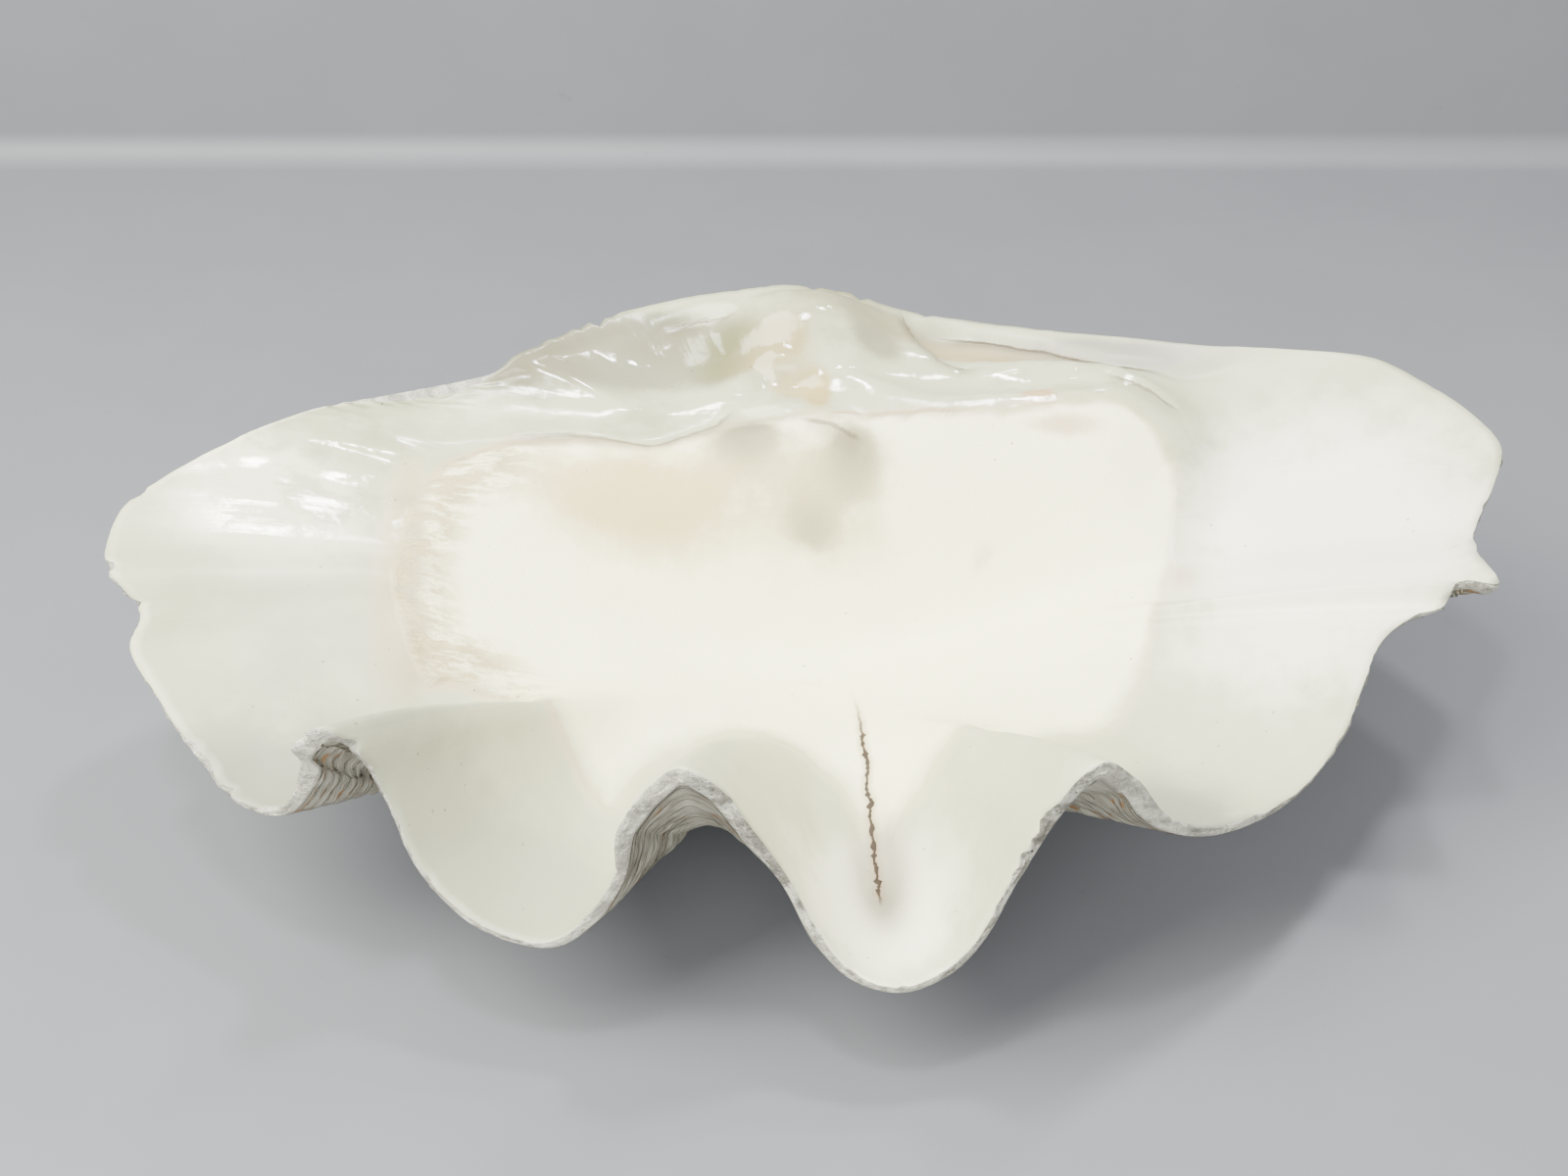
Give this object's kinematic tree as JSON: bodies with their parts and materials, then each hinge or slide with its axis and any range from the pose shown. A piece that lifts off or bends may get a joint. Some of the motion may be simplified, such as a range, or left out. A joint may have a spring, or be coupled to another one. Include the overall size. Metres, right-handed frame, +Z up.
{
  "type": "giant clam shell",
  "caption": "Single valve of a giant clam, a thick white natural shell with deep radial folds and a wavy lip, lying with its hollow facing up.",
  "frame": {"origin": "middle of the bounding box at the level of the worn flats underneath, on which the shell rests", "axes": "+X along the hinge to the right end as seen from the wavy lip, +Y from the wavy lip to the hinge, +Z up out of the hollow"},
  "size_m": [0.426, 0.25, 0.125],
  "materials": {
    "shell": "porcelain-like inside with a glossy hinge, chalky and ledged outside"
  },
  "bodies": {
    "root": {"valve": "shell"}
  },
  "joints": []
}
